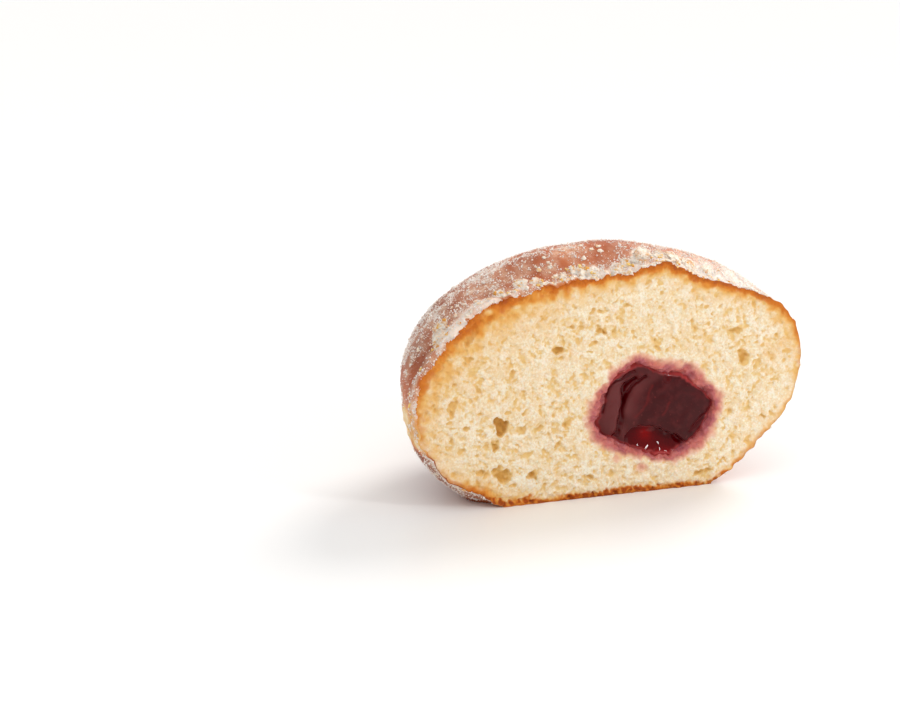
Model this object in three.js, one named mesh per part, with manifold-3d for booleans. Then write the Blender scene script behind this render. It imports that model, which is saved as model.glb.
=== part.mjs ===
// Half of a sugared, jelly filled doughnut, cut upright through its middle.
// It stands on its own flat underside. The cut face looks along -Y, +X runs to the right of someone
// facing it, and +Z is up. The origin is the middle of the bounding box, on the table. Lengths are in mm.

import * as THREE from "three";
import { mergeVertices } from "three/addons/utils/BufferGeometryUtils.js";
import Module from "manifold-3d";

const wasm = await Module();
wasm.setup();

// Body of the doughnut
const halfWidth = 44; // from its middle to its side
const halfDepth = 45.2; // from the cut plane's middle to the back
const middleHeight = 25; // height of the section's middle above the table
const crownRise = 29; // the crown above that middle
const bellyDrop = 31; // the round belly below it, which the table cuts off flat
const crownLean = -3.9; // the crown stands this far to the left
const bodyTilt = 0.07; // rise of the body for each millimetre to the right
const sideFullness = 0.92; // below 1, the plan is a little fuller than an ellipse
const underEdge = 1; // half the height over which the belly rounds into the flat underside
const underGive = 0.35; // crust that would lie closer to the table than this is pressed onto it

// The cut pressed the crust down along its edge. These radii give the edge's outline, at equal steps of angle
// anticlockwise from the right, about the section's middle.
const cutRadii = [
  45.3, 41.6, 31.8, 28.1, 24.2, 23.0, 25.6, 32.0, 39.6, 43.9, 42.4, 36.3, 32.4,
  30.0, 29.8, 32.0, 35.2, 40.6,
];
const pressedDepth = 8.7; // how far behind the cut the pressing reaches

// The pale belt that frying leaves round the side is a shallow, uneven dent
const beltHeight = 24;
const beltHalfHeight = 4.5;
const beltDent = 1;
const crustLumps = 0.45; // height of the gentle lumps all over the crust

// Crumb of the cut face
const crustThickness = 2.4; // browned rim that has no large pores
const crumbUnevenness = 0.5;
const porePlaces = 120; // places tried for the scattered pores
const poreSmall = 0.6; // radii
const poreLarge = 1.7;
// The largest pores: x, z, half width, half height
const largePores = [
  [-24.4, 18.0, 1.7, 2.1],
  [-24.0, 7.2, 2.5, 1.5],
  [-17.9, 11.5, 1.8, 1.2],
  [-17.1, 6.7, 1.9, 1.0],
  [-34.8, 22.8, 1.0, 2.3],
  [-31.0, 38.0, 1.1, 2.2],
  [-25.5, 13.2, 0.9, 1.0],
  [-11.5, 33.7, 1.6, 0.8],
];

// Jelly
const jellyMiddle = [11.3, 18.2]; // x and z
const jellyRadii = [
  13.8, 10.6, 8.6, 8.6, 11.0, 12.4, 12.9, 13.2, 10.8, 10.4, 11.8, 13.0,
];
const jellyDepth = 18;
const jellyRecess = 1.0; // its face lies this far behind the cut
const jellyGap = 0.3;
const grooveAcross = -8; // a groove runs down its face, this far left of its middle
const grooveDepth = 1.1;
const puddleBelow = 6.5; // a swelling drop lies this far under its middle
const puddleSwell = 1.3;

// Sugar that has caked into lumps on the crust
const cakeCount = 84;
const cakeRadius = [0.7, 1.5];
const cakeSunk = 0.1;
// The largest cakes sit just behind the cut: degrees round from the right, millimetres behind the cut, radius
const rimCakes = [
  [152, 3.2, 2.6],
  [147, 4.6, 1.8],
  [127, 3.0, 1.6],
  [101, 2.6, 2.2],
  [95, 3.8, 1.7],
  [82, 2.4, 2.3],
  [72, 3.0, 1.7],
  [55, 3.4, 2.5],
  [41, 2.8, 1.9],
];

// Mesh steps
const stepsRound = 72;
const skinRings = 22;
const ringCrowding = 1.3; // above 1, the rings stand closer together near the cut
const faceRings = 7;
const jellyStepsRound = 36;
const jellyRings = 9;

// A repeatable source of numbers from 0 to 1.
function seeded(seed) {
  let state = seed;
  return () => {
    state = (state + 0x6d2b79f5) | 0;
    let t = Math.imul(state ^ (state >>> 15), 1 | state);
    t = (t + Math.imul(t ^ (t >>> 7), 61 | t)) ^ t;
    return ((t ^ (t >>> 14)) >>> 0) / 4294967296;
  };
}

const smooth = THREE.MathUtils.smoothstep;
const mix = THREE.MathUtils.lerp;

// A radius read from a ring of equally spaced ones, with a smooth curve through them.
function radiusAt(radii, angle) {
  const n = radii.length;
  const place = ((((angle / (2 * Math.PI)) * n) % n) + n) % n;
  const i = Math.floor(place);
  const t = place - i;
  const [a, b, c, d] = [-1, 0, 1, 2].map((k) => radii[(i + k + n) % n]);
  const bend = 2 * a - 5 * b + 4 * c - d;
  const twist = -a + 3 * b - 3 * c + d;
  return 0.5 * (2 * b + (c - a) * t + bend * t * t + twist * t * t * t);
}

// Gentle swells, from -1 to 1, with a wavelength of about `size`.
function swell(x, y, z, size) {
  const k = (2 * Math.PI) / size;
  return (
    (Math.sin(k * (x + 0.31 * z) + 1.3) +
      Math.sin(k * (0.83 * y - 0.42 * x) + 4.1) +
      Math.sin(k * (0.91 * z + 0.37 * y) + 0.6)) /
    3
  );
}

// Height above the table, rounded into a flat where it would lie below.
function restedHeight(z) {
  if (z > underEdge) return z;
  const rounded = z < -underEdge ? 0 : (z + underEdge) ** 2 / (4 * underEdge);
  return rounded < underGive ? 0 : rounded;
}

// A point of the crust. Angle goes round the section, and share runs from 0 at the cut to 1 at the back.
function skinPoint(angle, share) {
  const turn = (share * Math.PI) / 2;
  const shrink = Math.cos(turn) ** sideFullness;
  const side = Math.cos(angle);
  const rise = Math.sin(angle);
  const reach = rise > 0 ? crownRise : bellyDrop;
  const radius = shrink / Math.hypot(side / halfWidth, rise / reach);
  let y = halfDepth * Math.sin(turn);
  let x = radius * side;
  let z = radius * rise;
  x += crownLean * THREE.MathUtils.clamp(z / crownRise, 0, 1);
  z += bodyTilt * x;

  const pressed = 1 - smooth(y, 0, pressedDepth);
  const cut = radiusAt(cutRadii, angle);
  x = mix(x, cut * side, pressed);
  z = middleHeight + mix(z, cut * rise, pressed);

  // The belt dents the side inwards, and swells run all over; both fade out at the cut.
  const free = smooth(y, 0, 6);
  const offBelt = (z - beltHeight - bodyTilt * x) / beltHalfHeight;
  const uneven = 0.75 + 0.5 * swell(x, y, 0, 31);
  const dent = beltDent * uneven * Math.exp(-offBelt * offBelt);
  const out = free * (crustLumps * swell(x, y, z, 23) - dent);
  const length = Math.hypot(x, y, z - middleHeight) || 1;
  x += (out * x) / length;
  y += (out * y) / length;
  z += (out * (z - middleHeight)) / length;
  return new THREE.Vector3(x, y, restedHeight(z));
}

// A closed geometry from rings of points that all run the same way round, with a point at each end.
function ringsToGeometry(first, rings, last) {
  const positions = [first, ...rings.flat(), last].flatMap((p) => p.toArray());
  const round = rings[0].length;
  const index = [];
  const at = (ring, step) => 1 + ring * round + (step % round);
  const end = positions.length / 3 - 1;
  for (let s = 0; s < round; s++) {
    index.push(0, at(0, s), at(0, s + 1));
    index.push(end, at(rings.length - 1, s + 1), at(rings.length - 1, s));
    for (let r = 0; r < rings.length - 1; r++) {
      index.push(at(r, s), at(r + 1, s), at(r + 1, s + 1));
      index.push(at(r, s), at(r + 1, s + 1), at(r, s + 1));
    }
  }
  const geometry = new THREE.BufferGeometry();
  geometry.setAttribute("position", new THREE.Float32BufferAttribute(positions, 3));
  geometry.setIndex(index);
  return geometry;
}

// The solid that a closed geometry bounds.
function solidOf(geometry) {
  const bare = geometry.clone();
  bare.deleteAttribute("normal");
  bare.deleteAttribute("uv");
  const merged = mergeVertices(bare, 1e-4);
  return new wasm.Manifold(
    new wasm.Mesh({
      numProp: 3,
      vertProperties: merged.attributes.position.array,
      triVerts: new Uint32Array(merged.index.array),
    }),
  );
}

function geometryOf(solid) {
  const mesh = solid.getMesh();
  const geometry = new THREE.BufferGeometry();
  geometry.setAttribute("position", new THREE.BufferAttribute(mesh.vertProperties, 3));
  geometry.setIndex(new THREE.BufferAttribute(mesh.triVerts, 1));
  geometry.computeVertexNormals();
  return geometry;
}

// A rough lump: an icosahedron whose corners are pushed in and out, then stretched, turned and placed.
function lump(random, place, halfSizes, direction, detail = 0) {
  const geometry = mergeVertices(plain(new THREE.IcosahedronGeometry(1, detail)), 1e-4);
  const position = geometry.attributes.position;
  const point = new THREE.Vector3();
  for (let i = 0; i < position.count; i++) {
    point.fromBufferAttribute(position, i).multiplyScalar(0.8 + 0.4 * random());
    position.setXYZ(i, point.x, point.y, point.z);
  }
  const spin = new THREE.Quaternion().setFromAxisAngle(
    new THREE.Vector3(0, 0, 1),
    random() * 2 * Math.PI,
  );
  const facing = new THREE.Quaternion().setFromUnitVectors(
    new THREE.Vector3(0, 0, 1),
    direction,
  );
  const size = new THREE.Vector3(...halfSizes);
  geometry.applyMatrix4(new THREE.Matrix4().compose(place, facing.multiply(spin), size));
  return solidOf(geometry);
}

function plain(geometry) {
  geometry.deleteAttribute("normal");
  geometry.deleteAttribute("uv");
  return geometry;
}

const around = (steps) =>
  Array.from({ length: steps }, (_, i) => (i / steps) * 2 * Math.PI);

// The whole outer form, with a slightly uneven cut face.
function body() {
  const angles = around(stepsRound);
  const face = [];
  for (let r = 1; r < faceRings; r++) {
    const share = r / faceRings;
    face.push(
      angles.map((a) => {
        const rim = skinPoint(a, 0);
        const x = rim.x * share;
        const z = mix(middleHeight, rim.z, share);
        const fade = 1 - share ** 6;
        const y = crumbUnevenness * fade * (0.5 + 0.5 * swell(x, 0, z, 11));
        return new THREE.Vector3(x, y, z);
      }),
    );
  }
  const skin = [];
  for (let r = 0; r < skinRings; r++) {
    skin.push(angles.map((a) => skinPoint(a, (r / skinRings) ** ringCrowding)));
  }
  const middle = new THREE.Vector3(0, crumbUnevenness / 2, middleHeight);
  return solidOf(ringsToGeometry(middle, [...face, ...skin], skinPoint(0, 1)));
}

// A ring of the jelly's outline, shrunk by a share and set in by a gap.
function jellyRing(share, depth, inset) {
  return around(jellyStepsRound).map((a) => {
    const radius = Math.max(radiusAt(jellyRadii, a) * share - inset, 0.2);
    return new THREE.Vector3(
      jellyMiddle[0] + radius * Math.cos(a),
      depth,
      jellyMiddle[1] + radius * Math.sin(a),
    );
  });
}

// The jelly's shape from a given front depth to its round back.
function jellyBack(inset) {
  const rings = [];
  for (let r = 0; r < jellyRings; r++) {
    const turn = ((r / jellyRings) * Math.PI) / 2;
    rings.push(jellyRing(Math.cos(turn), jellyRecess + (jellyDepth - inset) * Math.sin(turn), inset));
  }
  return rings;
}

function jellyCavity() {
  const front = -2;
  const mouth = jellyRing(1, front, 0);
  const rings = [mouth, ...jellyBack(0)];
  const first = new THREE.Vector3(jellyMiddle[0], front, jellyMiddle[1]);
  const last = new THREE.Vector3(jellyMiddle[0], jellyRecess + jellyDepth, jellyMiddle[1]);
  return solidOf(ringsToGeometry(first, rings, last));
}

// The jelly's open face: flat lobes either side of a groove, and a swollen drop at the bottom.
function jellyFaceDepth(x, z) {
  const across = x - jellyMiddle[0];
  const down = jellyMiddle[1] - z;
  const groove = grooveDepth * Math.exp(-(((across - grooveAcross) / 1.3) ** 2));
  const drop = Math.exp(-((across / 5) ** 2) - ((down - puddleBelow) / 2.6) ** 2);
  return jellyRecess + 0.5 * swell(x, 0, z, 9) + groove - puddleSwell * drop;
}

function jelly() {
  const rings = [];
  for (const share of [0.25, 0.5, 0.75, 0.92]) {
    const ring = jellyRing(share, 0, jellyGap);
    ring.forEach((p) => (p.y = jellyFaceDepth(p.x, p.z)));
    rings.push(ring);
  }
  rings.push(...jellyBack(jellyGap));
  const first = new THREE.Vector3(jellyMiddle[0], 0, jellyMiddle[1]);
  first.y = jellyFaceDepth(first.x, first.z);
  const last = new THREE.Vector3(
    jellyMiddle[0],
    jellyRecess + jellyDepth - jellyGap,
    jellyMiddle[1],
  );
  return solidOf(ringsToGeometry(first, rings, last));
}

// How far a point of the cut face lies inside the crust's edge, and outside the jelly.
function faceRoom(x, z) {
  const angle = Math.atan2(z - middleHeight, x);
  const rim = radiusAt(cutRadii, angle) - Math.hypot(x, z - middleHeight);
  const [jx, jz] = jellyMiddle;
  const jellyAngle = Math.atan2(z - jz, x - jx);
  const fromJelly = Math.hypot(x - jx, z - jz) - radiusAt(jellyRadii, jellyAngle);
  return Math.min(rim - crustThickness, z - crustThickness, fromJelly - 1.5);
}

// Open bubbles in the crumb. They grow and crowd towards the lower left, as in the photographed slice.
function pores() {
  const random = seeded(7);
  const backwards = new THREE.Vector3(0, 1, 0);
  const made = [];
  const taken = [];
  for (const [x, z, across, up] of largePores) {
    taken.push([x, z, Math.max(across, up)]);
    const place = new THREE.Vector3(x, 0.3, z);
    const turned = lump(random, new THREE.Vector3(), [1, 1, 1], backwards, 1);
    made.push(turned.scale([across, 1.6, up]).translate(place.toArray()));
  }
  for (let i = 0; i < porePlaces; i++) {
    const x = mix(-halfWidth, halfWidth, random());
    const z = mix(0, 2 * middleHeight, random());
    const lowerLeft = THREE.MathUtils.clamp(0.55 - x / 90 - (z - middleHeight) / 90, 0, 1);
    const radius = mix(poreSmall, poreLarge, lowerLeft * random());
    const clear = taken.every(([tx, tz, tr]) => Math.hypot(x - tx, z - tz) > tr + radius + 0.7);
    if (faceRoom(x, z) < radius || !clear) continue;
    taken.push([x, z, radius]);
    const sizes = [radius * mix(0.7, 1.4, random()), radius, 1.2 * radius + 0.3];
    made.push(lump(random, new THREE.Vector3(x, 0.2, z), sizes, backwards));
  }
  return made;
}

// The crust's outward direction.
function skinNormal(angle, share) {
  const here = skinPoint(angle, share);
  const round = skinPoint(angle + 0.05, share).sub(here);
  const back = skinPoint(angle, share + 0.02).sub(here);
  return round.cross(back).negate().normalize();
}

// Sugar crystals caked into flat lumps. Large ones lie along the cut, and small ones all over the upper crust.
function sugarCakes() {
  const random = seeded(23);
  const made = [];
  const onSkin = (angle, share, radius) => {
    const normal = skinNormal(angle, share);
    const place = skinPoint(angle, share).addScaledVector(normal, -cakeSunk);
    if (place.z < 2.5) return;
    const sizes = [radius, radius * mix(0.55, 0.95, random()), 0.35 + 0.25 * radius];
    made.push(lump(random, place, sizes, normal));
  };
  for (const [degrees, behind, radius] of rimCakes) {
    const share = Math.asin(behind / halfDepth) / (Math.PI / 2);
    onSkin(THREE.MathUtils.degToRad(degrees), share, radius);
  }
  for (let i = 0; i < cakeCount; i++) {
    const angle = mix(-0.75, Math.PI + 0.75, random());
    const share = mix(0.06, 0.93, Math.asin(random()) / (Math.PI / 2));
    onSkin(angle, share, mix(...cakeRadius, random() ** 2));
  }
  return made;
}

// The crumb and its crust with the caked sugar, without any scrap that a pore cut loose.
function dough() {
  const fused = wasm.Manifold.union([body(), ...sugarCakes()]);
  const hollows = wasm.Manifold.union([jellyCavity(), ...pores()]);
  const bodies = fused.subtract(hollows).decompose();
  return bodies.reduce((a, b) => (b.volume() > a.volume() ? b : a));
}

function meshOf(name, solid, look) {
  const mesh = new THREE.Mesh(geometryOf(solid), new THREE.MeshStandardMaterial(look));
  mesh.name = name;
  return mesh;
}

const doughnut = new THREE.Group();
doughnut.add(
  meshOf("dough", dough(), { color: 0xb9743c, roughness: 0.75, metalness: 0 }),
  meshOf("jelly", jelly(), { color: 0x5a0f18, roughness: 0.12, metalness: 0 }),
);

// The middle of the bounding box, on the table, becomes the origin.
const bounds = new THREE.Box3().setFromObject(doughnut);
const centre = bounds.getCenter(new THREE.Vector3());
doughnut.position.set(-centre.x, -centre.y, -bounds.min.z);

export default doughnut;
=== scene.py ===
# Half of a sugared, jelly filled doughnut that stands on its flat underside, with the cut face to the front.
# The sections follow the making: fried crust, crumb, jelly, sugar coat, sugar cakes, and then the studio.
# Sizes are in millimetres: x runs to the right along the cut, y is the depth behind the cut, and z is up.

import math

import bmesh
import bpy
import numpy as np
from mathutils import Matrix, Vector
from mathutils.geometry import delaunay_2d_cdt
from mathutils.kdtree import KDTree


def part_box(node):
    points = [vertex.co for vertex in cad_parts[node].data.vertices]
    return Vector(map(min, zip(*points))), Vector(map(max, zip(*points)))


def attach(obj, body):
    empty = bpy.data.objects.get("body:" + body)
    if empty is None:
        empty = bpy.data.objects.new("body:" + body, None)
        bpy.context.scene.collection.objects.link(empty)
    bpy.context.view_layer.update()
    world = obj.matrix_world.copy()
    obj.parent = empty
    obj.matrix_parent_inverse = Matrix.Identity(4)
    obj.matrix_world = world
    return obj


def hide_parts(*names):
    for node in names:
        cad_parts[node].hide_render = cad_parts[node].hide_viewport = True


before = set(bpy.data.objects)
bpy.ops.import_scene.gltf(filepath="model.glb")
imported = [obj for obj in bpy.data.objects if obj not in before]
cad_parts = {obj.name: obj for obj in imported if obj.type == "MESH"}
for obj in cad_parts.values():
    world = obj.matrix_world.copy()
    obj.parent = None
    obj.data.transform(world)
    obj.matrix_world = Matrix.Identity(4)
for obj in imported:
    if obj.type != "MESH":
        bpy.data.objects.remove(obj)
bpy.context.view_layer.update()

# Crust
# The thin skin of a ball of yeast dough, fried on both sides in turn, so that a pale belt is left where it
# floated. The knife pressed its edge down, and the table holds the underside flat. It is one closed shell.

MM = 0.001
HALF_WIDTH = 44
HALF_DEPTH = 45.2
MIDDLE_HEIGHT = 25
CROWN_RISE = 29
BELLY_DROP = 31
CROWN_LEAN = -3.9
BODY_TILT = 0.07
SIDE_FULLNESS = 0.92
UNDER_EDGE = 1
UNDER_GIVE = 0.35
# Every 10 degrees from the right: how far the cut's outline lies from its middle
CUT_RADII = [
    45.0, 44.8, 41.7, 36.6, 32.1, 29.4, 28.7, 26.7, 24.6, 23.6, 23.8, 24.7,
    26.4, 29.1, 32.4, 36.1, 38.6, 41.4, 43.6, 43.4, 41.6, 38.9, 35.4, 32.9,
    30.8, 28.9, 27.6, 27.2, 27.5, 28.5, 30.6, 33.6, 35.5, 37.7, 40.2, 43.1,
]
CUT_RIGHT_END = 45.3
PRESSED_DEPTH = 8.7
# The knife frayed the outline: amount, size and seed of each layer, and how far behind the cut it reaches
FRAYING = [(0.28, 0.8, 11), (0.42, 2.1, 12), (0.35, 4.5, 16)]
FRAYED_DEPTH = 3
OUTLINE_SIZE = [45, 0, 28]
EDGE_SINK = 0.22
EDGE_DEPTH = 1.4
BELT_HEIGHT = 24
BELT_HALF_HEIGHT = 4.5
BELT_DENT = 1
LUMPS_START = 6
CRUST_LUMPS = 0.45
WRINKLE_HEIGHT = 0.16
GRAIN_HEIGHT = 0.045
CRUMBLE_HEIGHT = 0.34
CRACK_DEPTH = 0.55
CRUST_THICKNESS = 1.5
CRUST_STEPS_ROUND = 640
CRUST_RINGS = 120
RING_CROWDING = 1.35
INNER_SHARES = [0.94, 0.82, 0.65, 0.45, 0.25, 0.1, 0.02]
LIP_PARTS = [1, 0.75, 0.5, 0.25]
POLE_CALM = 0.06

PALE_BELT_HEIGHT = 21.5
PALE_BELT_TILT = 0.126
PALE_BELT_HALF_HEIGHT = 4.6
BELT_WANDER = 2.2
BELT_RAGGEDNESS = 0.7
BELT_UNEVENNESS = 1.6
BELT_BRIDGING = 0.6
CROWN_BROWNING = 0.4
BELLY_BROWNING = 0.9
BELT_BROWNING = 0.12
SUGAR_THICKNESS = 0.3
SUGAR_PATCHES = 0.6
SUGAR_SPECKS = 0.4
CAKED_THICKNESS = 1.8
# Every 20 degrees from the right: how far the dragged edge of the crust laps over the cut
LIP_WIDTH = [0.1, 0.1, 0.12, 0.12, 0.15, 0.3, 0.8, 1.4, 1.9, 1.3, 0.5, 0.25, 0.15, 0.1, 0.1, 0.1, 0.1, 0.1]
# Angle round the section in degrees, distance behind the cut, and radius of each cake
CAKES = [
    (159, 2.4, 1.8), (156, 3.9, 1.3), (162, 1.2, 1.0), (129, 2.4, 1.1), (124, 1.8, 0.8), (101, 2.2, 1.6),
    (97, 2.0, 1.5), (104, 2.8, 1.0), (83, 1.8, 1.3), (79, 2.6, 1.1), (73, 2.6, 1.2), (69, 4.0, 1.7),
    (62, 3.2, 1.5), (56, 3.4, 1.8), (49, 3.0, 1.6), (42, 2.8, 1.5), (112, 2.0, 0.8), (138, 1.8, 0.8),
]


def smoothstep(value, low, high):
    t = np.clip((value - low) / (high - low), 0, 1)
    return t * t * (3 - 2 * t)


def bump(value, middle, half_width):
    return np.exp(-(((value - middle) / half_width) ** 2))


def noise_at(points, size, seed, octaves=1):
    """Smooth noise of about -1 to 1 with lumps about a size apart; each octave adds finer, lower ones."""
    lattice = np.random.default_rng(seed).uniform(-1, 1, (32, 32, 32))
    total = 0
    for octave in range(octaves):
        place = points / size * 2**octave + 5.3 * octave
        base = np.floor(place).astype(int)
        t = place - base
        t = t * t * (3 - 2 * t)
        value = 0
        for corner in np.ndindex(2, 2, 2):
            weight = np.prod(np.where(corner, t, 1 - t), axis=-1)
            value = value + weight * lattice[tuple((base + corner).T % 32)]
        total = total + value / 2**octave
    return total


def radius_at(radii, angle):
    """A radius read from a ring of equally spaced ones, with a smooth curve through them."""
    radii = np.asarray(radii)
    place = (angle / (2 * np.pi) * len(radii)) % len(radii)
    i = np.floor(place).astype(int)
    t = place - i
    a, b, c, d = (radii[(i + k) % len(radii)] for k in (-1, 0, 1, 2))
    bend = 2 * a - 5 * b + 4 * c - d
    twist = -a + 3 * b - 3 * c + d
    return 0.5 * (2 * b + (c - a) * t + bend * t * t + twist * t**3)


def swell(x, y, z, size):
    k = 2 * np.pi / size
    across = np.sin(k * (x + 0.31 * z) + 1.3)
    along = np.sin(k * (0.83 * y - 0.42 * x) + 4.1)
    upward = np.sin(k * (0.91 * z + 0.37 * y) + 0.6)
    return (across + along + upward) / 3


def pale_belt(points):
    """1 where the belt stayed pale and 0 off it, with an uneven edge and a few browner bridges."""
    x, y, z = points.T
    off = z - PALE_BELT_HEIGHT - PALE_BELT_TILT * x - BELT_WANDER * noise_at(points, 9, 31, 2)
    off = off + BELT_RAGGEDNESS * noise_at(points, 2.2, 34, 2)
    half = PALE_BELT_HALF_HEIGHT + BELT_UNEVENNESS * noise_at(points, 13, 32)
    belt = 1 - smoothstep(np.abs(off), half - 2.4, half + 1.2)
    bridge = smoothstep(noise_at(points * [1, 1, 0.6], 8, 33, 3), 0.0, 0.6) * smoothstep(y, 6, 14)
    return belt * (1 - BELT_BRIDGING * bridge)


def skin_at(angle, share, relief=True):
    """Points of the outside: angle runs round the section, and share from the cut, 0, to the back, 1."""
    turn = share * np.pi / 2
    side = np.cos(angle)
    rise = np.sin(angle)
    reach = np.where(rise > 0, CROWN_RISE, BELLY_DROP)
    radius = np.cos(turn) ** SIDE_FULLNESS / np.hypot(side / HALF_WIDTH, rise / reach)
    x = radius * side
    y = HALF_DEPTH * np.sin(turn)
    z = radius * rise
    x = x + CROWN_LEAN * np.clip(z / CROWN_RISE, 0, 1)
    z = z + BODY_TILT * x

    rim = np.stack([side, 0 * side, rise], axis=-1) * OUTLINE_SIZE
    frayed = sum(amount * noise_at(rim, size, seed) for amount, size, seed in FRAYING)
    sunk = EDGE_SINK * (1 + noise_at(rim, 1.6, 13))
    pressed = 1 - smoothstep(y, 0, PRESSED_DEPTH)
    cut = radius_at(CUT_RADII, angle) + frayed * (1 - smoothstep(y, 0, FRAYED_DEPTH))
    x = x + (cut * side - x) * pressed
    z = MIDDLE_HEIGHT + z + (cut * rise - z) * pressed
    y = y + sunk * (1 - smoothstep(y, 0, EDGE_DEPTH))

    free = smoothstep(y, 0, LUMPS_START)
    off_belt = (z - BELT_HEIGHT - BODY_TILT * x) / BELT_HALF_HEIGHT
    uneven = 0.75 + 0.5 * swell(x, y, z * 0, 31)
    out = free * (CRUST_LUMPS * swell(x, y, z, 23) - BELT_DENT * uneven * np.exp(-(off_belt**2)))
    if relief:
        out = out + crust_relief(np.stack([x, y, z], axis=-1)) * smoothstep(1 - share, 0, POLE_CALM)
    length = np.sqrt(x**2 + y**2 + (z - MIDDLE_HEIGHT) ** 2) + 1e-9
    x, y, z = (c + out * c0 / length for c, c0 in ((x, x), (y, y), (z, z - MIDDLE_HEIGHT)))

    rounded = np.where(z < -UNDER_EDGE, 0, (z + UNDER_EDGE) ** 2 / (4 * UNDER_EDGE))
    rounded = np.where(rounded < UNDER_GIVE, 0, rounded)
    return np.stack([x, y, np.where(z > UNDER_EDGE, z, rounded)], axis=-1)


def crust_relief(points):
    """The skin's fine relief: wrinkles, leathery grain, and torn, crumbly dough on the belt and below it."""
    x, y, z = points.T
    belt = pale_belt(points)
    wrinkles = WRINKLE_HEIGHT * noise_at(points, 3.2, 21, 2)
    grain = GRAIN_HEIGHT * noise_at(points, 0.7, 22, 2)
    crumbly = CRUMBLE_HEIGHT * belt * noise_at(points, 1.5, 23, 3)
    below = bump(z - PALE_BELT_TILT * x, PALE_BELT_HEIGHT - 8.5, 3.2)
    crack = np.abs(noise_at(points * [1, 1, 1.6], 5, 24, 2))
    cracks = -CRACK_DEPTH * below * (1 - smoothstep(crack, 0.0, 0.1))
    fade = smoothstep(y, 0.3, 3)
    return fade * (wrinkles + grain + crumbly + cracks)


def ring_inside(angles, share, depth):
    """A ring of points at a depth under the smooth skin."""
    ring = skin_at(angles, np.full_like(angles, share), relief=False)
    away = ring - [0, 0, MIDDLE_HEIGHT]
    return ring - away * depth / np.linalg.norm(away, axis=1, keepdims=True)


def loft(rings, closing, opening=None):
    """Triangles between rings that all run the same way round, closed by a point at the end, or at both."""
    count, around = len(rings), len(rings[0])
    step = np.arange(around)
    after = (step + 1) % around
    faces = []
    for r in range(count - 1):
        a, b = r * around, (r + 1) * around
        faces.append(np.stack([a + step, b + step, b + after], axis=1))
        faces.append(np.stack([a + step, b + after, a + after], axis=1))
    last = (count - 1) * around
    pole = np.full(around, count * around)
    faces.append(np.stack([last + step, pole, last + after], axis=1))
    points = [*rings, closing]
    if opening is not None:
        faces.append(np.stack([pole + 1, step, after], axis=1))
        points.append(opening)
    return np.vstack(points), np.vstack(faces)


low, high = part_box("dough")
# The right end of the cut is the widest point to the right, and the cut lies in the front of the box.
TO_ROW = np.array([high.x / MM - CUT_RIGHT_END, low.y / MM, 0])


def make_piece(name, points, faces, attributes, material):
    """A closed mesh with its faces outwards, in metres in the object's own frame."""
    mesh = bpy.data.meshes.new(name)
    mesh.from_pydata(((points + TO_ROW) * MM).tolist(), [], faces.tolist())
    for key, values in attributes.items():
        mesh.attributes.new(key, "FLOAT", "POINT").data.foreach_set("value", values.astype(np.float32))
    work = bmesh.new()
    work.from_mesh(mesh)
    bmesh.ops.recalc_face_normals(work, faces=work.faces)
    work.to_mesh(mesh)
    work.free()
    mesh.shade_smooth()
    mesh.materials.append(material)
    piece = bpy.data.objects.new(name, mesh)
    bpy.context.scene.collection.objects.link(piece)
    return piece


class Wire:
    """A socket of a node tree. Arithmetic with it adds Math nodes, and node() adds any other node."""

    def __init__(self, tree, socket=None):
        self.tree = tree
        self.socket = socket

    def node(self, kind, settings=(), inputs=(), output=0):
        made = self.tree.nodes.new(kind)
        for name, value in dict(settings).items():
            if name == "stops":
                ramp = made.color_ramp
                while len(ramp.elements) < len(value):
                    ramp.elements.new(1)
                for element, (position, colour) in zip(ramp.elements, value):
                    element.position = position
                    element.color = colour
            else:
                setattr(made, name, value)
        for name, value in dict(inputs).items():
            self.plug(value, made.inputs[name])
        return Wire(self.tree, made.outputs[output])

    def plug(self, value, socket):
        if isinstance(value, Wire):
            self.tree.links.new(value.socket, socket)
        else:
            socket.default_value = value

    def math(self, operation, *values):
        return self.node("ShaderNodeMath", {"operation": operation}, enumerate(values))

    def __add__(self, other):
        return self.math("ADD", self, other)

    __radd__ = __add__

    def __sub__(self, other):
        return self.math("SUBTRACT", self, other)

    def __rsub__(self, other):
        return self.math("SUBTRACT", other, self)

    def __mul__(self, other):
        return self.math("MULTIPLY", self, other)

    __rmul__ = __mul__

    def step(self, low, high):
        """0 below low, 1 above high, and a soft slope between."""
        return self.node(
            "ShaderNodeMapRange",
            {"interpolation_type": "SMOOTHSTEP"},
            {"Value": self, "From Min": low, "From Max": high},
        )

    def attribute(self, name):
        return self.node("ShaderNodeAttribute", {"attribute_name": name}, output="Fac")

    def noise(self, per_metre, detail):
        place = self.node("ShaderNodeTexCoord", output="Object")
        given = {"Vector": place, "Scale": per_metre, "Detail": detail, "Roughness": 0.55}
        return self.node("ShaderNodeTexNoise", {}, given)

    def mix(self, share, a, b):
        """Colour a where share is 0, and colour b where it is 1."""
        return self.node("ShaderNodeMix", {"data_type": "RGBA"}, {0: share, 6: a, 7: b}, 2)

    def relief(self, strength, distance, height):
        """Normals bent by a height that is drawn on the surface."""
        return self.node("ShaderNodeBump", {}, {"Strength": strength, "Distance": distance, "Height": height})

    def finish(self, shader, **looks):
        """Give each named socket of the shader its value or its wire."""
        for name, value in looks.items():
            self.plug(value, shader.inputs[name.replace("_", " ")])


def tint(red, green, blue):
    """A colour as the eye sees it, 0 to 255 a channel, in the renderer's linear light."""
    shares = (c / 255 for c in (red, green, blue))
    return (*(c / 12.92 if c < 0.04 else ((c + 0.055) / 1.055) ** 2.4 for c in shares), 1)


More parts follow.
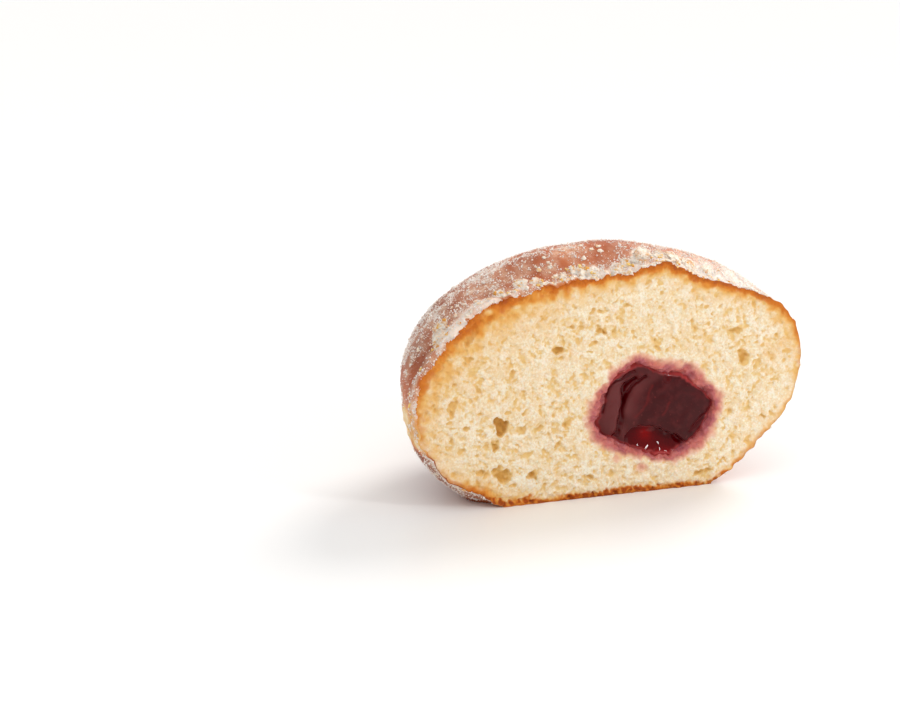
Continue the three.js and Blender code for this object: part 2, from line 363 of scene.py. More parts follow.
def finish_named(name, **constants):
    """A new material, its Principled shader with the constant sockets set, and a wire to build the rest."""
    material = bpy.data.materials.new(name)
    material.use_nodes = True
    shader = material.node_tree.nodes["Principled BSDF"]
    wire = Wire(material.node_tree)
    wire.finish(shader, **{"Subsurface_Scale": MM, **constants})
    return material, shader, wire


def fried_crust():
    material, shader, wire = finish_named(
        "fried_crust", Subsurface_Weight=0.15, Subsurface_Radius=(1.2, 0.5, 0.2)
    )
    toast = wire.attribute("toast") + 0.22 * (wire.noise(180, 3) - 0.5) + 0.12 * (wire.noise(900, 3) - 0.5)
    stops = [
        (0.0, tint(248, 228, 184)),
        (0.2, tint(238, 188, 112)),
        (0.42, tint(216, 130, 62)),
        (0.66, tint(184, 94, 46)),
        (1.0, tint(118, 52, 26)),
    ]
    browned = wire.node("ShaderNodeValToRGB", {"stops": stops}, {"Fac": toast})
    # Dust too fine to be crystals lies on the skin as a film, and turns it white under the heaps and on the
    # top at the right, where the white is partly a painted highlight
    speckle = wire.noise(2600, 2).step(0.42, 0.62)
    drifts = wire.noise(750, 2).step(0.4, 0.62)
    cover_with_highlight = wire.attribute("sugar")
    film = (cover_with_highlight - 0.08) * (0.28 + 0.38 * speckle + 0.4 * drifts)
    colour = wire.mix(film.math("MINIMUM", film, 0.75), browned, tint(230, 196, 168))
    colour = wire.mix(0.9 * cover_with_highlight.step(0.8, 1.6), colour, tint(252, 234, 220))
    relief = wire.relief(0.35, 0.3 * MM, wire.noise(1400, 3))
    wire.finish(shader, Base_Color=colour, Roughness=0.42 + 0.25 * speckle, Normal=relief)
    return material


def skin_browning(points):
    """How far the crust browned, 0 to 1: hardly on the belt, well on the crown, and most below the belt;
    right at the cut it is painted paler, as painted light on its shaded, knife-pressed edge.
    """
    x, y, z = points.T
    height = z - PALE_BELT_HEIGHT - PALE_BELT_TILT * x
    above = CROWN_BROWNING + 0.28 * smoothstep(height, 3, 20) + 0.16 * bump(x, -44, 18)
    below = BELLY_BROWNING - 0.2 * smoothstep(-height, 9, 20)
    toast = above + (below - above) * smoothstep(-height, -1.5, 5) + 0.1 * noise_at(points, 8, 41, 2)
    # Painted light: within about 1.4 mm of the cut the crust is painted paler, to lift the shade on its
    # knife-pressed edge
    toast = toast - 0.14 * (1 - smoothstep(y, 0.2, 1.4))
    blotches = BELT_BROWNING + 0.16 * noise_at(points, 3.5, 42, 3)
    belt = pale_belt(points)
    return toast * (1 - belt) + blotches * belt


def sugar_heaps(points):
    """How near each point is to the middle of a heap of caked sugar, 1 on it and 0 off all of them."""
    heap = np.zeros(len(points))
    for degrees, behind, radius in CAKES:
        share = math.asin(behind / HALF_DEPTH) / (math.pi / 2)
        middle = skin_at(np.array([math.radians(degrees)]), np.array([share]), relief=False)[0]
        off = np.linalg.norm(points - middle, axis=1) + 0.3 * noise_at(points, 0.8, 52, 2)
        heap = np.maximum(heap, 1 - smoothstep(off, 0.5 * radius, 1.7 * radius))
    return heap


def sugar_cover_with_highlight(points):
    """How thick the sugar lies: in patches, thickest by the cut and in the heaps, thin on the belt, and
    raised on the top at the right, partly as a painted highlight.
    """
    x, y, z = points.T
    patches = noise_at(points, 8, 51, 3)
    cover_with_highlight = SUGAR_THICKNESS + SUGAR_PATCHES * patches + 0.12 * smoothstep(z, 26, 44) - 0.4 * pale_belt(points)
    cover_with_highlight = cover_with_highlight + SUGAR_SPECKS * noise_at(points, 2.2, 53, 2)
    beside_cut = 1 - smoothstep(y, 0.5, 4)
    cover_with_highlight = cover_with_highlight + 0.42 * (1 - smoothstep(y, 0.4, 3.2)) * smoothstep(z, 22, 34)
    cover_with_highlight = cover_with_highlight + 0.7 * beside_cut * bump(x, -38, 18) - 0.14 * bump(x, -44, 24) * smoothstep(20 - y, 0, 10)
    cover_with_highlight = cover_with_highlight + 0.25 * beside_cut * bump(x, -5, 30) * smoothstep(z, 30, 40)
    # Partly real sugar and partly painted highlight: the top at the right, where the key light grazes, is
    # given much more sugar and so is painted white
    cover_with_highlight = cover_with_highlight + 1.05 * bump(x, 30, 15) * bump(z, 46, 10) * smoothstep(20 - y, 0, 12)
    bare_above_belt = bump(z - PALE_BELT_TILT * x, PALE_BELT_HEIGHT + 9, 4) * smoothstep(y, 6, 16)
    cover_with_highlight = cover_with_highlight - 0.35 * bare_above_belt
    cover_with_highlight = np.clip(cover_with_highlight, 0.03, 1.5) + CAKED_THICKNESS * sugar_heaps(points)
    return cover_with_highlight * smoothstep(z, 0.6, 1.4)


def make_crust():
    around = np.arange(CRUST_STEPS_ROUND) / CRUST_STEPS_ROUND * 2 * np.pi
    shares = (np.arange(CRUST_RINGS) / CRUST_RINGS) ** RING_CROWDING
    outer = [skin_at(around, np.full_like(around, share)) for share in shares]
    # The inside follows the outside a little deeper, in far fewer rings
    inner = [ring_inside(around, share, CRUST_THICKNESS) for share in INNER_SHARES]
    # The lip is the edge that the knife dragged over the cut
    ragged = 1 + 0.5 * noise_at(outer[0], 1.1, 14, 2) + 0.35 * noise_at(outer[0], 3, 15)
    width = radius_at(LIP_WIDTH, around) * np.clip(ragged, 0.3, 1.6)
    inward = ([0, 0, MIDDLE_HEIGHT] - outer[0]) * [1, 0, 1]
    inward = inward / np.linalg.norm(inward, axis=1, keepdims=True)
    lip = []
    for part in LIP_PARTS:
        ring = outer[0] + inward * (width * part)[:, None]
        ring[:, 1] += 0.6 * part**2 - 0.65 * np.minimum(width, 1) * np.sin(np.pi * part)
        lip.append(ring)
    tip = skin_at(np.zeros(1), np.ones(1))[0]
    points, faces = loft(inner + lip + outer, tip, tip - [0, CRUST_THICKNESS, 0])
    # No sugar lies on the inside, and on the lip only where it is wide
    sugar = sugar_cover_with_highlight(points)
    hidden = (len(inner) + 1) * CRUST_STEPS_ROUND
    sugar[:hidden] = 0
    sugar[-1] = 0
    lapped = slice(hidden, (len(inner) + len(lip)) * CRUST_STEPS_ROUND)
    sugar[lapped] *= np.tile(smoothstep(width, 0.9, 1.3), len(lip) - 1)
    # Round the pole at the back the rings meet, so the browning there runs into one even tone
    toast = skin_browning(points)
    near_pole = 1 - smoothstep(np.linalg.norm(points - tip, axis=1), 0.5, 4.5)
    toast = toast + (np.average(toast, weights=near_pole) - toast) * near_pole
    looks = {"toast": toast, "sugar": sugar}
    return make_piece("crust", points, faces, looks, fried_crust())


crust = make_crust()
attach(crust, "root")
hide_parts("dough")

# Crumb
# Soft, cream coloured yeast crumb that the knife laid open, with bubbles of every size. It is toasted towards
# the crust and stained round the jelly, and is one solid inside the crust, with a cavity for the jelly.

FACE_STEP = 0.215
RIM_STEPS = 960
MOUTH_STEPS = 300
CRUMB_UNEVENNESS = 0.5
JELLY_MIDDLE = np.array([11.3, 18.2])
# Every 10 degrees from the right: the jelly's edge, and the outer edge of the crumb that it stained
JELLY_RADII = [
    13.3, 12.2, 10.8, 9.8, 9.1, 8.6, 8.1, 7.8, 7.9, 8.4, 9.3, 10.4,
    10.8, 11.1, 11.7, 12.2, 12.4, 12.3, 12.5, 13.2, 13.0, 11.8, 10.7, 10.0,
    9.6, 9.6, 9.8, 10.3, 10.7, 10.9, 11.1, 11.3, 11.6, 12.0, 12.6, 13.0,
]
STAIN_RADII = [
    15.1, 15.3, 13.3, 12.8, 12.5, 12.4, 11.3, 11.1, 10.8, 10.8, 11.7, 13.2,
    13.6, 14.2, 14.0, 13.7, 15.1, 15.5, 16.0, 16.2, 15.7, 14.4, 12.8, 12.0,
    11.3, 11.2, 11.1, 11.3, 11.7, 12.6, 13.2, 13.5, 14.1, 14.6, 14.6, 14.7,
]
# Smeared crumbs below the jelly: x, z and strength
STAIN_SPOTS = [(8.1, 5.4, 0.38), (15.6, 6.9, 0.45), (17.4, 7.2, 0.35), (2.2, 8.4, 0.3)]
JELLY_DEPTH = 18
JELLY_RECESS = 1.0
# Every 20 degrees from the right: how brown the line under the crust is, its width, and the golden crumb's
TOAST_STRENGTH = [0.4, 0.85, 0.95, 1, 0.95, 1, 1, 1, 0.9, 0.6, 0.3, 0.9, 0.9, 1, 1, 0.9, 0.55, 0.4]
TOAST_WIDTH = [0.4, 0.6, 0.7, 0.7, 0.6, 0.7, 0.9, 1.3, 1.7, 1.6, 0.9, 0.9, 0.8, 0.8, 0.8, 0.8, 0.5, 0.5]
GOLDEN_WIDTH = [2.4, 2.6, 3.8, 2.9, 3.0, 3.4, 4.4, 6.2, 6.4, 5.6, 5.4, 3.0, 1.8, 1.4, 1.4, 1.4, 1.4, 2.5]
# The largest bubbles: x, z, half width, half height, lean in degrees, depth of the middle behind the cut
LARGE_BUBBLES = [
    (-24.4, 18.0, 1.7, 2.1, 20, 0.9), (-24.0, 7.2, 2.6, 1.7, -20, -0.2),
    (-17.9, 11.5, 2.0, 1.2, 0, -0.4), (-17.1, 6.7, 2.0, 1.0, 25, 0.3),
    (-34.8, 22.8, 0.9, 2.3, -25, 0.2), (-31.0, 38.0, 1.0, 2.2, -35, 0.2),
    (-25.5, 13.2, 0.9, 1.0, 0, 0.5), (-11.5, 33.7, 1.3, 0.8, 0, 0.5),
    (-19.0, 16.5, 1.0, 0.8, 0, 0.1), (-15.2, 16.1, 1.0, 0.8, 30, 0.1),
    (-9.6, 16.9, 1.2, 1.0, 50, 0.0), (-29.2, 8.1, 1.1, 0.9, 0, 0.2),
    (-34.5, 8.2, 0.8, 0.7, 0, 0.3), (-3.7, 4.5, 1.0, 0.7, 0, 0.3),
    (-11.9, 12.9, 0.9, 0.8, 0, 0.2), (-32.5, 17.8, 0.9, 0.8, 0, 0.2),
    (-26.5, 41.2, 1.4, 0.6, 30, 0.2), (-30.9, 33.4, 0.9, 0.8, 0, 0.1),
    (-4.1, 41.1, 1.1, 0.6, 20, 0.3), (-2.2, 37.0, 1.2, 0.7, -20, 0.4),
    (29.5, 34.6, 1.9, 0.6, 5, 0.2), (31.0, 28.0, 1.2, 2.0, 40, 0.0),
    (22.5, 2.7, 3.0, 0.5, 12, 0.3),
]
# The others: how many, smallest and largest size, and how far they crowd to the lower left
SMALL_BUBBLES = [(70, 0.7, 1.1, 0.85), (2100, 0.35, 0.75, 0.3), (6000, 0.2, 0.4, 0)]
# The fluffy face between them: amount, size, seed and octaves of each layer
FLUFF = [(0.18, 2.4, 65, 2), (0.3, 0.95, 66, 1), (0.2, 0.5, 77, 1)]
# Golden patches by the right end: x, z, half width and strength
GOLDEN_SPOTS = [(39, 29, 3.5, 0.3), (39, 37, 3, 0.35)]
# The crumb's outside behind the rim: share of the way to the back, and depth under the skin
BACK_RINGS = [(0.012, 0.5), (0.06, 0.8), (0.25, 0.9), (0.5, 0.9), (0.75, 0.9), (0.93, 0.9)]
RASTER_STEP = 0.1
RASTER_LOW = np.array([-47, -1])
RASTER_SIZE = (940, 530)


def jelly_reach(angle):
    """How far the jelly's ragged edge lies from its middle."""
    place = np.stack([12 * np.cos(angle), 0 * angle, 12 * np.sin(angle)], axis=-1)
    return radius_at(JELLY_RADII, angle) + 0.35 * noise_at(place, 1.3, 60, 2)


def off_jelly(x, z):
    """Angle round the jelly's middle, distance outside its edge, and the share of the way from the middle."""
    across, up = x - JELLY_MIDDLE[0], z - JELLY_MIDDLE[1]
    reach = np.hypot(across, up)
    angle = np.arctan2(up, across)
    edge = jelly_reach(angle)
    return angle, reach - edge, reach / edge


def bubble_depths():
    """A raster of how deep the cut bubbles lie behind the face."""
    columns, rows = RASTER_SIZE
    x = RASTER_LOW[0] + np.arange(columns)[None, :] * RASTER_STEP
    z = RASTER_LOW[1] + np.arange(rows)[:, None] * RASTER_STEP
    x, z = np.broadcast_arrays(x, z)
    flat = np.stack([x.ravel(), 0 * x.ravel(), z.ravel()], axis=1)
    # The walls are drawn on a wavy sheet, so no bubble comes out round
    wavy_x = x + (0.35 * noise_at(flat, 0.9, 61, 2) + 0.7 * noise_at(flat, 2.6, 62)).reshape(x.shape)
    wavy_z = z + (0.35 * noise_at(flat, 0.9, 63, 2) + 0.7 * noise_at(flat, 2.6, 64)).reshape(x.shape)
    depth = np.zeros(x.shape)

    def open_bubble(bx, bz, wide, tall, lean, behind, softness):
        reach = 1.4 * max(wide, tall) + 1.2
        left, right = (int((bx + s * reach - RASTER_LOW[0]) / RASTER_STEP) for s in (-1, 1))
        under, over = (int((bz + s * reach - RASTER_LOW[1]) / RASTER_STEP) for s in (-1, 1))
        window = (slice(max(under, 0), max(over, 0)), slice(max(left, 0), max(right, 0)))
        across = wavy_x[window] - bx
        up = wavy_z[window] - bz
        along = (across * math.cos(lean) + up * math.sin(lean)) / wide
        aside = (up * math.cos(lean) - across * math.sin(lean)) / tall
        inside = np.clip(1 - along**2 - aside**2, 0, 1)
        wall = (behind + np.sqrt(inside) * min(wide, tall)) * smoothstep(inside, 0, softness)
        depth[window] = np.maximum(depth[window], wall)

    random = np.random.default_rng(5)
    for bx, bz, wide, tall, lean, behind in LARGE_BUBBLES:
        open_bubble(bx, bz, wide, tall, math.radians(lean), behind, 0.35)
    for count, small, large, crowd in SMALL_BUBBLES:
        for _ in range(count):
            bx = random.uniform(-45, 45)
            bz = random.uniform(1, 51)
            lower_left = np.clip(0.55 - bx / 90 - (bz - MIDDLE_HEIGHT) / 90, 0, 1)
            keep = random.uniform() > crowd * (1 - lower_left)
            size = random.uniform(small, large)
            stretch = random.uniform(0.7, 1.7)
            lean = random.uniform(0, math.pi)
            behind = size * random.uniform(-0.7, 0.2)
            if keep:
                open_bubble(bx, bz, size * stretch, size / stretch, lean, behind, 1)
    return depth


def read_raster(raster, x, z):
    """The raster's value at each point, read between its cells."""
    column = np.clip((x - RASTER_LOW[0]) / RASTER_STEP, 0, RASTER_SIZE[0] - 1.001)
    row = np.clip((z - RASTER_LOW[1]) / RASTER_STEP, 0, RASTER_SIZE[1] - 1.001)
    i, j = column.astype(int), row.astype(int)
    s, t = column - i, row - j
    under = raster[j, i] * (1 - s) + raster[j, i + 1] * s
    over = raster[j + 1, i] * (1 - s) + raster[j + 1, i + 1] * s
    return under * (1 - t) + over * t


def soft_crumb():
    material, shader, wire = finish_named(
        "soft_crumb", Subsurface_Weight=0.15, Subsurface_Radius=(0.7, 0.4, 0.2), Specular_IOR_Level=0.2
    )
    mottle = 0.4 * wire.noise(420, 3) + 0.6 * wire.noise(2300, 3)
    cream = wire.mix(mottle.step(0.38, 0.6), tint(255, 244, 224), tint(245, 219, 177))
    # Painted shade: the deeper a point lies in a bubble or hollow of the face, the darker tan it is painted
    deep = wire.attribute("pore") + 0.55 * (wire.noise(1200, 3) - 0.5)
    crumb_with_pore_shade = wire.mix(deep.step(0.0, 0.45), cream, tint(240, 203, 137))
    crumb_with_pore_shade = wire.mix(deep.step(0.5, 1.3), crumb_with_pore_shade, tint(216, 164, 86))
    golden = wire.attribute("golden") * (0.6 + 0.8 * wire.noise(500, 3))
    warmed = wire.mix(golden.step(0.0, 0.7), crumb_with_pore_shade, tint(240, 190, 112))
    warmed = wire.mix(golden.step(0.45, 1.0), warmed, tint(228, 150, 62))
    toast = wire.attribute("toast") * (0.5 + wire.noise(600, 3))
    toasted = wire.mix(toast.step(0.1, 0.8), warmed, tint(212, 120, 40))
    toasted = wire.mix(toast.step(0.7, 1.2), toasted, tint(172, 80, 26))
    stain = wire.attribute("stain") + 0.35 * (wire.noise(600, 3) - 0.5)
    pink = wire.mix(stain.step(0.0, 0.4), toasted, tint(238, 182, 156))
    rose = wire.mix(wire.noise(330, 3).step(0.34, 0.66), tint(208, 114, 104), tint(180, 94, 102))
    pink = wire.mix(stain.step(0.25, 0.65), pink, rose)
    soaked = wire.mix(stain.step(0.84, 1.15), pink, tint(132, 36, 40))
    grain = wire.noise(1900, 3) + 1.6 * stain.step(0.2, 0.7) * wire.noise(800, 2)
    wire.finish(
        shader,
        Base_Color=soaked,
        Roughness=0.85 - 0.68 * stain.step(0.3, 0.75),
        Coat_Weight=0.5 * stain.step(0.35, 0.8),
        Normal=wire.relief(0.75, 0.4 * MM, grain),
    )
    return material


def make_crumb():
    # Points of the face: the rim at equal steps, the jelly's edge, and a jittered honeycomb between them
    fine = np.linspace(0, 2 * np.pi, 20 * RIM_STEPS, endpoint=False)
    edge = skin_at(fine, np.zeros_like(fine))
    walked = np.cumsum(np.linalg.norm(np.diff(edge[:, ::2], axis=0, append=edge[:1, ::2]), axis=1))
    turns = np.interp(np.arange(RIM_STEPS) / RIM_STEPS * walked[-1], walked, fine)
    rim = skin_at(turns, np.zeros_like(turns))
    ring = np.arange(MOUTH_STEPS) / MOUTH_STEPS * 2 * np.pi
    reach = jelly_reach(ring)
    mouth = JELLY_MIDDLE + np.stack([reach * np.cos(ring), reach * np.sin(ring)], axis=1)
    columns = np.arange(-46, 46, FACE_STEP)
    rows = np.arange(0, 52, FACE_STEP * math.sqrt(0.75))
    x, z = np.meshgrid(columns, rows)
    x[1::2] += FACE_STEP / 2
    random = np.random.default_rng(6)
    comb = np.stack([x.ravel(), z.ravel()], axis=1)
    comb = comb + random.uniform(-0.25, 0.25, comb.shape) * FACE_STEP
    edge_turns = np.unwrap(np.arctan2(edge[:, 2] - MIDDLE_HEIGHT, edge[:, 0]))
    edge_reach = np.hypot(edge[:, 0], edge[:, 2] - MIDDLE_HEIGHT)

    def edge_at(x, z):
        angle = np.arctan2(z - MIDDLE_HEIGHT, x)
        return angle, np.interp(angle, edge_turns, edge_reach, period=2 * np.pi)

    inside = np.hypot(comb[:, 0], comb[:, 1] - MIDDLE_HEIGHT) < edge_at(*comb.T)[1] - 0.25
    inside = inside & (comb[:, 1] > 0.15) & (np.abs(off_jelly(*comb.T)[1]) > 0.12)
    flat = np.vstack([rim[:, ::2], mouth, comb[inside]])
    loops = [(i, (i + 1) % RIM_STEPS) for i in range(RIM_STEPS)]
    loops += [(RIM_STEPS + i, RIM_STEPS + (i + 1) % MOUTH_STEPS) for i in range(MOUTH_STEPS)]
    placed, _, triangles, *_ = delaunay_2d_cdt([Vector(p) for p in flat.tolist()], loops, [], 1, 1e-7, False)
    flat = np.array([tuple(p) for p in placed])
    faces = np.array(triangles)
    # Triangles that span a dent of the rim from outside are left out: a line from them to the right crosses
    # the rim an even number of times
    start = flat[:RIM_STEPS]
    step = np.roll(start, -1, axis=0) - start
    kept = np.ones(len(faces), dtype=bool)
    for number in np.flatnonzero((faces < RIM_STEPS).all(axis=1)):
        to_x, to_z = (flat[faces[number]].mean(axis=0) - start).T
        crossed = (to_z < 0) != (to_z < step[:, 1])
        side = step[:, 0] * to_z - step[:, 1] * to_x
        kept[number] = np.count_nonzero(crossed & ((side > 0) == (step[:, 1] > 0))) % 2
    faces = faces[kept]

    # Distance from the crust, and round the jelly
    x, z = flat.T
    angle, outline = edge_at(x, z)
    share = np.hypot(x, z - MIDDLE_HEIGHT) / outline
    tree = KDTree(len(edge) // 8)
    for index, point in enumerate(edge[::8]):
        tree.insert((point[0], 0, point[2]), index)
    tree.balance()
    room = np.array([tree.find((px, 0, pz))[2] for px, pz in flat.tolist()])
    turn, spread, share_of_jelly = off_jelly(x, z)
    level = np.stack([x, 0 * x, z], axis=1)
    stain_width = np.maximum(radius_at(STAIN_RADII, turn) - jelly_reach(turn), 0.8)
    torn = 0.5 * noise_at(level, 1.8, 74, 3)
    stain = 1 - (spread + torn) / (1.15 * stain_width + 0.6)
    for bx, bz, strength in STAIN_SPOTS:
        stain = np.maximum(stain, strength * bump(np.hypot(x - bx, z - bz) + 0.5 * torn, 0, 1.2))
    stain = np.clip(stain, 0, 1)

    # How far each point lies behind the cut
    depth = read_raster(bubble_depths(), x, z)
    open_share = smoothstep(room, 0.5, 2.2) * (0.15 + 0.85 * (1 - smoothstep(stain, 0.0, 0.4)))
    uneven = CRUMB_UNEVENNESS * (1 - share**6) * (0.5 + 0.5 * swell(x, 0 * x, z, 11))
    fluff = sum(amount * noise_at(level, size, seed, octaves) for amount, size, seed, octaves in FLUFF)
    creases = 0.3 * (0.35 - np.abs(noise_at(level, 1.7, 69, 2)))
    y = uneven + 0.7 * depth * open_share + (fluff + np.maximum(creases, 0)) * smoothstep(room, 0, 1)
    # The stained crumb swells in wet lumps, rolls over the jelly's edge and follows the cavity behind it
    lumps = 0.45 * noise_at(level, 1.3, 67, 2)
    y = y + (0.4 * stain + lumps * smoothstep(stain, 0, 0.3) + 1.3 * smoothstep(stain, 0.7, 1.0))
    hollow = JELLY_RECESS + 1.1 + JELLY_DEPTH * np.sqrt(np.clip(1 - share_of_jelly**2, 0, 1))
    y = np.where(spread < -0.01, hollow, y)
    rim_sunk = np.interp(angle, edge_turns, edge[:, 1], period=2 * np.pi)
    y = y + (rim_sunk - y) * (1 - smoothstep(room, 0, 1.0))
    bottom = bump(z, 0.6, 0.9) * smoothstep(room, 0, 0.5)
    y = y + bottom * (0.35 + 0.5 * noise_at(level, 0.6, 75, 2))
    y[:RIM_STEPS] = rim[:, 1]
    y = np.maximum(y, 0)

    # Behind the rim the solid closes inside the crust
    rings = [ring_inside(turns, share_back, sunk) for share_back, sunk in BACK_RINGS]
    tip = skin_at(np.zeros(1), np.ones(1))[0] - [0, BACK_RINGS[-1][1], 0]
    face = np.stack([x, y, z], axis=1)
    back, back_faces = loft([face[:RIM_STEPS], *rings], tip)
    moved = np.concatenate([np.arange(RIM_STEPS), len(face) + np.arange(len(back) - RIM_STEPS)])
    points = np.vstack([face, back[RIM_STEPS:]])
    faces = np.vstack([faces, moved[back_faces]])

    # Looks: painted shade by depth in a bubble or hollow, toasting towards the crust, and the jelly's stain
    wander = 1 + 0.5 * noise_at(level, 3, 71) + 0.45 * noise_at(level, 1, 76, 2)
    line = radius_at(TOAST_WIDTH, angle) * wander
    toast = radius_at(TOAST_STRENGTH, angle) * (1 - smoothstep(room, 0.4 * line, 2.2 * line + 0.5))
    toast = toast * (1 + 0.8 * noise_at(level, 0.8, 78, 2) * (1 - smoothstep(z, 3, 6)))
    reach = radius_at(GOLDEN_WIDTH, angle)
    golden = 1.25 * radius_at(TOAST_STRENGTH, angle) * np.exp(-((room / (0.75 * reach)) ** 1.3))
    golden = golden + 0.2 * bump(x, -40, 26) * smoothstep(z, 10, 30)
    for spot_x, spot_z, wide, strength in GOLDEN_SPOTS:
        golden = golden + strength * bump(np.hypot(x - spot_x, z - spot_z), 0, wide)
    golden = golden * (1 + 0.5 * noise_at(level, 1.6, 73, 2))
    extra = np.zeros(len(points) - len(face))
    looks = {
        "pore": np.concatenate([np.clip(depth * open_share + 0.9 * fluff, 0, 1.5), extra]),
        "toast": np.concatenate([toast, extra + 1]),
        "golden": np.concatenate([golden, extra]),
        "stain": np.concatenate([stain, extra]),
    }
    return make_piece("crumb", points, faces, looks, soft_crumb())


crumb = make_crumb()
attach(crumb, "root")
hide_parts("dough")

# Jelly
# Set dark red fruit jelly, piped into the dough after frying. The knife smeared it into matt lobes with
# grooves between them, and below them it ran together into a fresh, wet pool. One blob fills the cavity.

JELLY_STEPS_ROUND = 320
JELLY_FRONT_RINGS = 80
JELLY_BACK_RINGS = 24
JELLY_LAP = 1.0
# Lines on the open face, as x and z of their points
GROOVE = [
    (7.1, 25.2), (4.8, 24.1), (4.1, 22.2), (4.0, 20.0), (3.8, 17.8), (3.6, 15.6), (3.2, 13.4), (2.3, 12.1),
]
GROOVE_BRANCH = [(9.5, 25.4), (8.9, 25.1), (6.2, 23.5), (4.8, 21.9), (4.4, 20.2)]
TOP_CREASE = [(7.0, 26.6), (4.7, 25.9), (2.5, 25.0), (0.5, 23.6), (-0.2, 21.9), (-0.6, 19.3), (-1.0, 18.0)]
# The fold line below draws no relief, only a painted highlight along the main lobe's fold
FOLD_HIGHLIGHT = [(12.6, 26.0), (10.5, 25.1), (8.5, 24.0), (6.7, 22.4), (5.6, 20.5), (5.1, 18.3)]
STREAKS = [[(10.6, 23.1), (9.5, 20.6), (8.4, 18.4), (6.8, 16.8)], [(14.4, 19.4), (13.0, 16.9)]]
RIGHT_FOLD = [(24.3, 16.7), (22.7, 15.5), (21.3, 14.0), (19.5, 12.4)]
POOL_EDGE = [
    (4.6, 12.2), (5.7, 14.0), (7.3, 14.8), (9.6, 14.7), (12.4, 13.9), (14.4, 12.6), (16.6, 11.6), (19.6, 8.8),
]
POOL_FOOT = 7.6
# The lobes between the grooves: x and z of the middle, half width, half height and rise
LOBES = [(14.5, 18, 10.5, 9, 1.0), (1.4, 17, 2.9, 8, 0.7)]
# The middle of the painted light shining through the pool, and of a painted shadow under the upper edge where
# the crumb overhangs, as x and z
POOL_GLOW = (9.6, 12.7)
OVERHANG_SHADOW = (13.9, 24.5)


def line_distance(x, z, line):
    """Distance of each point from a line of straight pieces."""
    nearest = np.full(x.shape, np.inf)
    for (ax, az), (bx, bz) in zip(line, line[1:]):
        t = ((x - ax) * (bx - ax) + (z - az) * (bz - az)) / ((bx - ax) ** 2 + (bz - az) ** 2)
        t = np.clip(t, 0, 1)
        nearest = np.minimum(nearest, np.hypot(x - ax - t * (bx - ax), z - az - t * (bz - az)))
    return nearest


def jelly_front(x, z):
    """How far the jelly's open face lies behind the cut, and where the pool is clear red and lit through by
    painted light, where it is deep red and painted dark under the overhang, where it has its pale bloom and
    painted sheen, and where it is streaked.
    """
    level = np.stack([x, 0 * x, z], axis=1)
    bent_x = x + 0.35 * noise_at(level, 1.8, 84, 2)
    bent_z = z + 0.35 * noise_at(level, 1.8, 85, 2)
    widening = 0.55 + 0.35 * smoothstep(-z, -21, -15)

    def along(line, width):
        return bump(line_distance(bent_x, bent_z, line), 0, width)

    groove = along(GROOVE, widening)
    branch = along(GROOVE_BRANCH, 0.4)
    crease = along(TOP_CREASE, 0.35)
    right_fold = along(RIGHT_FOLD, 0.45)
    streaks = sum(along(line, 0.28) for line in STREAKS)

    ripple = 0.12 * noise_at(level, 2.4, 82, 2) + 0.3 * noise_at(level, 6, 83)
    depth = JELLY_RECESS + 0.7 + ripple
    for lobe_x, lobe_z, wide, tall, rise in LOBES:
        depth = depth - rise * (1 - np.clip(((x - lobe_x) / wide) ** 2 + ((z - lobe_z) / tall) ** 2, 0, 1))
    depth = depth + 1.3 * groove + 0.8 * branch + 0.5 * crease + 0.35 * right_fold

    edge_x, edge_z = np.array(POOL_EDGE).T
    top = np.interp(bent_x, edge_x, edge_z, left=-5, right=-5)
    down = np.clip((top - bent_z) / np.maximum(top - POOL_FOOT, 1), 0, 1)
    pool = smoothstep(top - bent_z, -0.1, 0.45)
    pool_depth = JELLY_RECESS + 2.1 - 2.4 * down**1.6 + 0.05 * noise_at(level, 4, 86) - 0.3 * bump(x, 12, 5)
    depth = depth + (pool_depth - depth) * pool

    # Painted light shining through the jelly: the pool is painted brighter red round its glow point and most
    # at its foot; only a low base is the pool's own clearer red
    glow = bump(np.hypot((x - POOL_GLOW[0]) / 1.8, (z - POOL_GLOW[1]) / 1.9), 0, 1)
    fresh = pool * (0.12 + 0.42 * glow + 0.6 * down**4)
    deep = np.clip(groove + 0.9 * branch + 0.8 * crease + 0.5 * right_fold + pool, 0, 1)
    # A painted shadow: the jelly under the crumb that overhangs its upper edge is painted deep red
    deep = np.maximum(deep, bump(np.hypot(x - OVERHANG_SHADOW[0], z - OVERHANG_SHADOW[1]), 0, 1))
    # Partly the jelly's own pale bloom and partly painted sheen: lighter on the left lobe, with a painted
    # highlight along the main lobe's fold line and a small one just right of the groove's foot
    milky = 0.75 * smoothstep(-x, -5.5, -2.5) * smoothstep(z, 9, 15) + 0.35 * smoothstep(-x, -11, -6)
    milky = milky + 0.8 * bump(line_distance(x, z, FOLD_HIGHLIGHT), 0, 1.7) - 0.2 + 0.25 * noise_at(level, 3, 87)
    milky = milky + 0.5 * bump(np.hypot(x - 4.1, (z - 13.5) * 0.8), 0, 0.8)
    return depth, {"fresh": fresh, "deep": deep, "milky": np.clip(milky, 0, 1), "streak": streaks}


